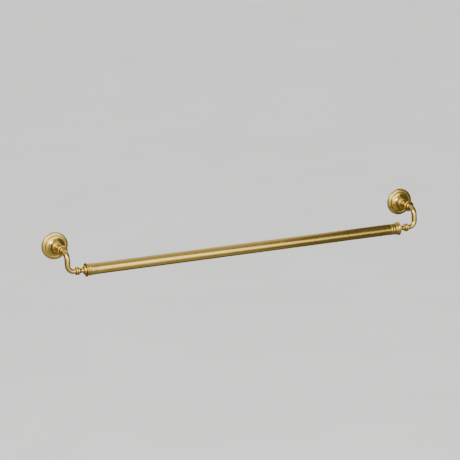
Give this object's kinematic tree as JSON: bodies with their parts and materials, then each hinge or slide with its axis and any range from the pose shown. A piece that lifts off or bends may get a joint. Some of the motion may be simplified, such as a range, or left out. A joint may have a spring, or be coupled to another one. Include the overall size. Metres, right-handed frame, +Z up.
{
  "type": "towel rack",
  "caption": "Wall-hung towel rail: a round brass bar that turns freely between two goose-neck arms on round turned wall plates.",
  "frame": {"origin": "centre of the rectangle of four wall anchors, on the wall plane behind the plates", "axes": "+X along the bar, +Y into the wall (the rack stands out along -Y), +Z up"},
  "size_m": [0.816, 0.1128, 0.0772],
  "materials": {
    "satin_brass": "satin",
    "plated_steel": "satin",
    "nylon": "matte"
  },
  "bodies": {
    "rack": {"left_wall_anchors": "nylon", "left_wall_screws": "plated_steel", "left_wall_bracket": "plated_steel", "left_escutcheon": "satin_brass", "left_post": "satin_brass", "left_post_bolt": "plated_steel", "left_post_washer": "plated_steel", "left_arm": "satin_brass", "left_spindle": "plated_steel", "right_wall_anchors": "nylon", "right_wall_screws": "plated_steel", "right_wall_bracket": "plated_steel", "right_escutcheon": "satin_brass", "right_post": "satin_brass", "right_post_bolt": "plated_steel", "right_post_washer": "plated_steel", "right_arm": "satin_brass", "right_spindle": "plated_steel"},
    "bar": {"bar_tube": "satin_brass", "left_bar_end": "satin_brass", "left_bush": "nylon", "right_bar_end": "satin_brass", "right_bush": "nylon"},
    "left_set_screw": {"left_set_screw": "plated_steel"},
    "right_set_screw": {"right_set_screw": "plated_steel"}
  },
  "joints": [
    {"name": "bar_spin", "type": "hinge", "parent": "rack", "child": "bar", "pos_m": [0, -0.067, -0.0364], "axis": [1, 0, 0], "continuous": true},
    {"name": "left_set_screw_travel", "type": "slide", "parent": "rack", "child": "left_set_screw", "axis": [0, 0, -1], "range_m": [0, 0.004]},
    {"name": "right_set_screw_travel", "type": "slide", "parent": "rack", "child": "right_set_screw", "axis": [0, 0, -1], "range_m": [0, 0.004]}
  ]
}
